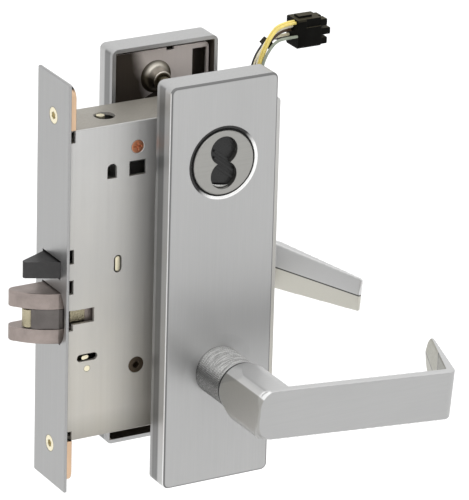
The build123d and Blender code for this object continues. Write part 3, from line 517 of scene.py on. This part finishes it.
def cast(name, colour, rough=0.5, pit=0.00002, metallic=0.75):
    """Sintered or oiled steel: fine pitting, dark mottling and rubbed edges."""
    recipe = Recipe(name, metallic=metallic)
    pits = recipe.noise((1500, 1500, 1500), detail=6.0, rough=0.7)
    mottle = recipe.noise((130, 130, 130), detail=4.0)
    tone = recipe.mix(recipe.ramp(mottle, 0.0, 1.0, 0.35, 0.7), shade(colour, 0.85), shade(colour, 1.12))
    tone = recipe.mix(recipe.edges(), tone, shade(colour, 1.5))
    recipe.colour(tone)
    recipe.roughness(recipe.ramp(pits, rough - 0.1, rough + 0.1, 0.3, 0.7))
    recipe.bump(pits, pit)
    return recipe.material


def moulded(name, colour, rough=0.45, grain=0.00001, sheen=0.0, gloss=0.5, top=None):
    """Moulded plastic or rubber with a fine eroded texture and dusty high spots."""
    recipe = Recipe(name)
    texture = recipe.noise((1900, 1900, 1900), detail=4.0, rough=0.65)
    dust = recipe.noise((90, 90, 90), detail=4.0)
    tone = recipe.mix(recipe.ramp(dust, 0.0, 0.5, 0.45, 0.8), colour, tuple(c * 1.4 + 0.006 for c in colour))
    tone = recipe.mix(recipe.edges(), tone, tuple(c * 1.6 + 0.01 for c in colour))
    if top:
        tone = recipe.mix(recipe.ramp(recipe.facing(Z, signed=True), 0.0, 1.0, 0.6, 0.9), tone, top)
    recipe.colour(tone)
    recipe.roughness(recipe.ramp(texture, rough - 0.08, rough + 0.12, 0.3, 0.7))
    recipe.shader.inputs["Sheen Weight"].default_value = sheen
    recipe.shader.inputs["Specular IOR Level"].default_value = gloss
    recipe.bump(texture, grain)
    return recipe.material


def insulation(name, colour):
    """Extruded wire cover: smooth, with faint ripples and handling marks."""
    recipe = Recipe(name, roughness=0.34)
    marks = recipe.noise((420, 420, 420), detail=4.0)
    ripple = recipe.noise((240, 240, 1400), detail=1.0)
    tone = recipe.mix(recipe.ramp(marks, 0.0, 1.0, 0.4, 0.75), colour, shade(colour, 0.78))
    recipe.colour(tone)
    recipe.roughness(recipe.ramp(marks, 0.28, 0.46, 0.3, 0.7))
    recipe.bump(ripple, 0.00002)
    return recipe.material


def winding(name, colour):
    """Enamelled wire wound side by side along X."""
    recipe = Recipe(name, metallic=0.6, roughness=0.3)
    wave = recipe.tree.nodes.new("ShaderNodeTexWave")
    wave.inputs["Scale"].default_value = 900.0
    wave.inputs["Distortion"].default_value = 0.4
    recipe.tree.links.new(recipe.place, wave.inputs["Vector"])
    turns = wave.outputs["Fac"]
    recipe.colour(recipe.mix(turns, shade(colour, 0.45), shade(colour, 1.1)))
    recipe.bump(turns, 0.0001)
    return recipe.material


def board(name, colour):
    """Printed board: green mask over copper tracks."""
    recipe = Recipe(name, roughness=0.35)
    tracks = recipe.tree.nodes.new("ShaderNodeTexBrick")
    tracks.inputs["Scale"].default_value = 260.0
    tracks.inputs["Mortar Size"].default_value = 0.06
    recipe.tree.links.new(recipe.place, tracks.inputs["Vector"])
    recipe.colour(recipe.mix(tracks.outputs["Fac"], colour, (0.35, 0.3, 0.1)))
    recipe.bump(tracks.outputs["Fac"], 0.00003)
    return recipe.material


LEVER_LAYERS = (lever_top, lever_return, lever_ridge, lever_neck, dark_seam)
TRIM_LAYERS = (trim_walls, trim_edges, trim_inside)
MATERIALS = {
    "satin_steel": brushed("satin_steel", shade(SATIN, 0.78), along=Z),
    "satin_lever": brushed("satin_lever", shade(SATIN, 0.86), along=X, metallic=0.75, layers=LEVER_LAYERS),
    "core_rib": moulded("core_rib", (0.008, 0.008, 0.008), rough=0.3, gloss=0.35),
    "polished": brushed("polished", (0.86, 0.86, 0.85), along=Y, rough=0.2),
    "rim_metal": brushed("rim_metal", (0.86, 0.86, 0.85), along=Y, rough=0.25, layers=(rim_shine,)),
    "satin_trim": brushed("satin_trim", shade(SATIN, 0.88), along=Z, metallic=0.75, layers=TRIM_LAYERS),
    "trim_plate": plated(
        "trim_plate", (0.62, 0.57, 0.55), rough=0.5, metallic=0.6, edge=1.3, masks=(plate_reflection,)
    ),
    "post_metal": plated(
        "post_metal", (0.72, 0.68, 0.60), (0.72, 0.66, 0.55), rough=0.36, edge=0.3, masks=(post_shade,)
    ),
    "front_plate": plated(
        "front_plate", (0.42, 0.415, 0.40), (0.42, 0.40, 0.37), rough=0.4, masks=(beyond_case, far_edge_shade)
    ),
    "cream_zinc": plated("cream_zinc", (0.80, 0.74, 0.55), rough=0.34, edge=0.25),
    "plated_case": plated(
        "plated_case", (0.51, 0.51, 0.505), (0.50, 0.475, 0.42), metallic=0.55, masks=(case_shade,)
    ),
    "brass": cast("brass", (0.40, 0.36, 0.25), rough=0.3, pit=0.0003, metallic=1.0),
    "taupe_bolt": cast("taupe_bolt", (0.30, 0.255, 0.235), rough=0.46),
    "tongue_grey": cast("tongue_grey", (0.13, 0.118, 0.112), rough=0.45),
    "copper_screw": cast("copper_screw", (0.62, 0.26, 0.14), rough=0.35, metallic=0.9),
    "dark_steel": cast("dark_steel", (0.045, 0.044, 0.044), rough=0.42),
    "bright_steel": plated("bright_steel", (0.62, 0.62, 0.63), (0.60, 0.59, 0.57), rough=0.34),
    "spring_steel": cast("spring_steel", (0.40, 0.40, 0.42), rough=0.3, pit=0.000008, metallic=1.0),
    "bronze_screw": cast("bronze_screw", (0.115, 0.088, 0.062), rough=0.4, metallic=0.9),
    "cylinder_face": brushed("cylinder_face", (0.33, 0.326, 0.31), along=X, rough=0.4),
    "black_plastic": moulded("black_plastic", (0.003, 0.0028, 0.0022), gloss=0.03, top=(0.05, 0.044, 0.028)),
    "knurl": brushed(
        "knurl", (0.21, 0.21, 0.207), along=Y, rough=0.38, metallic=0.7, layers=(knurl_sparkle, dark_seam)
    ),
    "black_rubber": moulded("black_rubber", (0.005, 0.005, 0.005), rough=0.6, sheen=0.02, gloss=0.15),
    "coil_copper": winding("coil_copper", (0.50, 0.22, 0.09)),
    "board_green": board("board_green", (0.04, 0.20, 0.10)),
    "wire_black": insulation("wire_black", (0.015, 0.015, 0.015)),
    "wire_cream": insulation("wire_cream", (0.78, 0.72, 0.52)),
    "wire_brown": insulation("wire_brown", (0.07, 0.04, 0.02)),
    "wire_white": insulation("wire_white", (0.80, 0.76, 0.62)),
    "wire_yellow": insulation("wire_yellow", (0.82, 0.66, 0.18)),
    "wire_grey": insulation("wire_grey", (0.25, 0.28, 0.22)),
}
OVERRIDES = {
    "outside_lever": "satin_lever",
    "inside_lever": "satin_lever",
    "outside_escutcheon": "satin_trim",
    "inside_escutcheon": "satin_trim",
    "outside_mounting_plate": "trim_plate",
    "inside_mounting_plate": "trim_plate",
    "lock_front": "front_plate",
    "armor_screws": "cream_zinc",
    "case_rivets": "cream_zinc",
    "front_screws": "cream_zinc",
    "top_link": "cream_zinc",
    "core_blank": "core_rib",
    "anti_friction_tongue": "tongue_grey",
    "cover_screws": "copper_screw",
    "spring_cages": "trim_plate",
}


def paint(piece, slot):
    """Gives a piece its one material."""
    if piece.material_slots:
        for holder in piece.material_slots:
            holder.material = MATERIALS[slot]
    else:
        piece.data.materials.append(MATERIALS[slot])


for subpart in frame["record"]["subparts"]:
    name = subpart["node"]
    paint(nodes[name], OVERRIDES.get(name, subpart["material_slot"]))
for name, lead in leads.items():
    paint(lead, wire_slot(name))


# ---- built pieces -----------------------------------------------------------
def add_piece(name, mesh, body, material):
    """A finished mesh that rides on a body."""
    for polygon in mesh.polygons:
        polygon.use_smooth = True
    piece = bpy.data.objects.new(name, mesh)
    bpy.context.scene.collection.objects.link(piece)
    mesh.materials.clear()
    mesh.materials.append(MATERIALS[material])
    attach(piece, body)
    return piece


ROUND = 96
POST_ROUND = 64
STADIUM_STEPS = 24
CRESCENT_STEPS = 16


def lathe(name, rings, segments=ROUND, centre=None):
    """Mesh of rings round a centre line along Y. Each ring has its place, and its radius or a knurl."""
    centre = centre or HUB
    mesh = bpy.data.meshes.new(name)
    points, faces = [], []
    for y, radius in rings:
        for step in range(segments):
            angle = math.tau * step / segments
            reach = radius(angle, y) if callable(radius) else radius
            points.append((centre.x + reach * math.cos(angle), y, centre.z + reach * math.sin(angle)))
    for row in range(len(rings) - 1):
        for step in range(segments):
            a, b = row * segments + step, row * segments + (step + 1) % segments
            faces.append((a, b, b + segments, a + segments))
    mesh.from_pydata(points, [], faces)
    bm = bmesh.new()
    bm.from_mesh(mesh)
    bmesh.ops.recalc_face_normals(bm, faces=bm.faces)
    bm.to_mesh(mesh)
    bm.free()
    return mesh


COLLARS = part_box("lever_bushings")
TRIM_FACE = -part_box("outside_escutcheon")[0].y
HUB = (COLLARS[0] + COLLARS[1]) / 2
COLLAR_R = (COLLARS[1].x - COLLARS[0].x) / 2
COLLAR_END = COLLARS[1].y
KNURLS = 60
KNURL_PITCH = 0.0013
KNURL_DEPTH = 0.0003
KNURL_STEPS = 5
# The plain end of a collar: distances short of its end, and in from its radius.
COLLAR_TAIL = ((0.0009, 0.0001), (0.0005, 0.0001), (0.0002, 0.0005), (0.0, 0.0012))
COLLAR_BORE = 0.008
DOME_STEPS = 12
DOME_REACH = 0.0075
DOME_RISE = 0.00022


def knurl(angle, y):
    """Radius of a diamond knurl at an angle round the collar and a place along it."""
    turn, run = angle * KNURLS / math.tau, y / KNURL_PITCH
    left = abs((turn + run) % 1.0 - 0.5) * 2
    right = abs((turn - run) % 1.0 - 0.5) * 2
    return COLLAR_R - KNURL_DEPTH * (left + right) / 2


def collar(name, side):
    """Knurled collar between an escutcheon and its lever, with a groove at the lever's end."""
    start, end = TRIM_FACE - 0.0008, COLLAR_END
    rings = [(start, COLLAR_R - 0.0002)]
    y = TRIM_FACE + 0.0002
    while y < end - 0.0012:
        rings.append((y, knurl))
        y += KNURL_PITCH / KNURL_STEPS
    rings += [(end - short, COLLAR_R - inset) for short, inset in COLLAR_TAIL]
    rings.append((end, COLLAR_BORE))
    rings = [(side * place, radius) for place, radius in rings]
    return add_piece(name, lathe(name, rings, KNURL_STEPS * KNURLS), "lock", "knurl")


def dome(name, side):
    """Low dome that the escutcheon is pressed into round the collar."""
    rings = []
    for step in range(DOME_STEPS + 1):
        share = step / DOME_STEPS
        rise = DOME_RISE * (math.cos(math.pi * share) + 1) / 2
        rings.append((side * (TRIM_FACE - 0.00002 + rise), COLLAR_R + 0.0001 + DOME_REACH * share))
    return add_piece(name, lathe(name, rings), "lock", "satin_trim")


POST_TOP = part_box("inside_posts")[1]
POST_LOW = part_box("inside_posts")[0]
BOLT_X = (POST_TOP.x + POST_LOW.x) / 2
# A post from its flared top to its bore: its place as a share of its depth, and its radius in millimetres.
POST_PROFILE = (
    (1.00, 8.0), (0.98, 7.2), (0.94, 6.4), (0.86, 5.6), (0.74, 5.0), (0.55, 4.5), (0.32, 4.2),
    (0.22, 4.2), (0.18, 4.5), (0.05, 4.55), (0.00, 4.3), (0.00, 2.9), (0.08, 2.65), (0.9, 2.6),
)


def post(name, z, scale):
    """Flared post with a rolled rim round a through bolt."""
    centre = Vector((BOLT_X, 0.0, z))
    deep = POST_TOP.y - POST_LOW.y
    rings = [(POST_LOW.y + deep * share, radius * MM * scale) for share, radius in POST_PROFILE]
    return add_piece(name, lathe(name, rings, POST_ROUND, centre), "lock", "post_metal")


CYLINDER = (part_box("cylinder_collar")[0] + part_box("cylinder_collar")[1]) / 2
RIM_OUT, RIM_IN, RIM_SINK = 0.0179, 0.0164, 0.00034


def cylinder_rim():
    """Polished chamfer round the cylinder's hole in the escutcheon."""
    out = -TRIM_FACE - 0.00003
    sunk = out + RIM_SINK
    rings = [(out, RIM_OUT), (out - 0.00005, RIM_OUT - 0.0002)]
    rings += [(out + RIM_SINK * 0.5, RIM_IN + 0.0005), (sunk, RIM_IN), (sunk + 0.0004, RIM_IN)]
    mesh = lathe("cylinder_rim", rings, ROUND, CYLINDER)
    return add_piece("cylinder_rim", mesh, "lock", "rim_metal")


def slab(name, outline, y, depth, material, edge=0.00012):
    """Flat stud with a rounded edge: an outline in X and Z, its face at one Y and its depth behind it."""
    bm = bmesh.new()
    face = bm.faces.new([bm.verts.new((px, y, pz)) for px, pz in outline])
    back = bmesh.ops.extrude_face_region(bm, geom=[face])
    moved = [item for item in back["geom"] if isinstance(item, bmesh.types.BMVert)]
    bmesh.ops.translate(bm, vec=(0.0, depth, 0.0), verts=moved)
    bmesh.ops.recalc_face_normals(bm, faces=bm.faces)
    rim = [item for item in bm.edges if all(abs(v.co.y - y) < 1e-7 for v in item.verts)]
    bmesh.ops.bevel(bm, geom=rim, offset=edge, segments=3, profile=0.5, affect="EDGES")
    mesh = bpy.data.meshes.new(name)
    bm.to_mesh(mesh)
    bm.free()
    return add_piece(name, mesh, "lock", material)


def stadium(x, z, half, radius, angle):
    """Outline of a slot shape: two round ends, each half a length from the middle."""
    points = []
    for step in range(STADIUM_STEPS):
        turn = math.tau * step / STADIUM_STEPS
        shift = half if math.cos(turn) >= 0 else -half
        along, across = shift + radius * math.cos(turn), radius * math.sin(turn)
        c, s = math.cos(angle), math.sin(angle)
        points.append((x + along * c - across * s, z + along * s + across * c))
    return points


def crescent(x, z, radius, thick, start, end):
    """Outline of a crescent lying along a circle from one angle to another."""
    outer, inner = [], []
    for step in range(CRESCENT_STEPS + 1):
        share = step / CRESCENT_STEPS
        turn = math.radians(start + (end - start) * share)
        depth = thick * math.sin(math.pi * share) + 0.00002
        outer.append((x + radius * math.cos(turn), z + radius * math.sin(turn)))
        inner.append((x + (radius - depth) * math.cos(turn), z + (radius - depth) * math.sin(turn)))
    return outer + inner[::-1]


SOFT_VOXEL = 0.00042
SOFT_PASSES = 7
WELD_GAP = 0.000005


def softened(name, node, body):
    """A CAD node with every edge rounded as a casting's is."""
    mesh = nodes[node].data.copy()
    mesh.name = name
    work = bpy.data.objects.new(name + "_work", mesh)
    bpy.context.scene.collection.objects.link(work)
    weld = work.modifiers.new("weld", "WELD")
    weld.merge_threshold = WELD_GAP
    remesh = work.modifiers.new("remesh", "REMESH")
    remesh.mode = "VOXEL"
    remesh.voxel_size = SOFT_VOXEL
    smooth = work.modifiers.new("smooth", "SMOOTH")
    smooth.factor = 0.5
    smooth.iterations = SOFT_PASSES
    evaluated = work.evaluated_get(bpy.context.evaluated_depsgraph_get())
    final = bpy.data.meshes.new_from_object(evaluated)
    final.name = name
    bpy.data.objects.remove(work)
    piece = add_piece(name, final, body, "satin_lever")
    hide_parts(node)
    return piece


cylinder_rim()
CASE_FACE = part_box("case_cover")[0].y
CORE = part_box("core_blank")
LOBE_R = (CORE[1].x - CORE[0].x) / 2
STUD_DEPTH = 0.001
slot_stud = stadium(0.0280, 0.0087, 0.0024, 0.0013, math.pi / 2)
slab("slot_stud", slot_stud, CASE_FACE + 0.0002, STUD_DEPTH, "cream_zinc")
lower_stud = stadium(0.0118, -0.0357, 0.0009, 0.0010, 0.12)
slab("lower_stud", lower_stud, CASE_FACE + 0.0004, STUD_DEPTH, "cream_zinc")
# A thin bright crescent on the core's lower lobe stands in for a glint: a painted highlight.
glint = crescent(CYLINDER.x, CORE[0].z + LOBE_R, LOBE_R * 0.96, 0.0011, -140, -60)
slab("core_glint", glint, CORE[0].y - 0.0002, 0.0003, "polished", edge=0.00002)
collars = [collar("outside_collar", -1), collar("inside_collar", 1)]
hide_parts("lever_bushings")
dome("outside_dome", -1)
dome("inside_dome", 1)
POST_R = (POST_TOP.x - POST_LOW.x) / 2
LOWER_POST_R = 0.007
posts = [
    post("upper_post", POST_TOP.z - POST_R, 1.0),
    post("lower_post", POST_LOW.z + LOWER_POST_R, LOWER_POST_R / POST_R),
]
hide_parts("inside_posts")
softened("outside_handle_lever", "outside_lever", "outside_handle")
softened("inside_handle_lever", "inside_lever", "inside_handle")


# ---- floor and light --------------------------------------------------------
FLOOR_HALF, FLOOR_Z = 6.0, -0.26
WORLD_SIDE, WORLD_TOP = 1.0, 1.4
LIGHTS = (
    ("key", (-1.3, -1.2, 1.9), (1.2, 1.2), 4.0),
    ("top", (0.3, -0.3, 2.4), (1.4, 1.4), 4.0),
    ("side", (2.0, -1.4, 0.8), (0.8, 1.6), 1.5),
)


def add_floor():
    """Plain pale floor, a little below the lock."""
    mesh = bpy.data.meshes.new("floor")
    signs = ((-1, -1), (1, -1), (1, 1), (-1, 1))
    corners = [(x * FLOOR_HALF, y * FLOOR_HALF, FLOOR_Z) for x, y in signs]
    mesh.from_pydata(corners, [], [(0, 1, 2, 3)])
    floor = bpy.data.objects.new("floor", mesh)
    bpy.context.scene.collection.objects.link(floor)
    recipe = Recipe("floor", roughness=0.9)
    grain = recipe.noise((6, 6, 6))
    recipe.colour(recipe.mix(grain, (0.90, 0.90, 0.90), (0.94, 0.94, 0.94)))
    mesh.materials.append(recipe.material)


def add_light(name, place, size, power):
    """Soft rectangular lamp that faces the middle of the lock."""
    data = bpy.data.lights.new(name, "AREA")
    data.shape = "RECTANGLE"
    data.size, data.size_y = size
    data.energy = power
    light = bpy.data.objects.new(name, data)
    toward = (AIM - Vector(place)).normalized()
    light.rotation_euler = toward.to_track_quat("-Z", "Y").to_euler()
    light.location = place
    bpy.context.scene.collection.objects.link(light)


def add_world():
    """White surroundings, brighter overhead."""
    world = bpy.data.worlds.new("studio")
    world.use_nodes = True
    tree = world.node_tree
    background = tree.nodes["Background"]
    place = tree.nodes.new("ShaderNodeTexCoord")
    split = tree.nodes.new("ShaderNodeSeparateXYZ")
    rise = tree.nodes.new("ShaderNodeMapRange")
    rise.inputs["From Min"].default_value = 0.0
    rise.inputs["From Max"].default_value = 1.0
    rise.inputs["To Min"].default_value = WORLD_SIDE
    rise.inputs["To Max"].default_value = WORLD_TOP
    tree.links.new(place.outputs["Generated"], split.inputs[0])
    tree.links.new(split.outputs["Z"], rise.inputs["Value"])
    tree.links.new(rise.outputs["Result"], background.inputs["Strength"])
    background.inputs["Color"].default_value = (1.0, 1.0, 1.0, 1.0)
    bpy.context.scene.world = world
    bpy.context.scene.view_settings.view_transform = "Standard"


add_floor()
add_world()
for facts in LIGHTS:
    add_light(*facts)
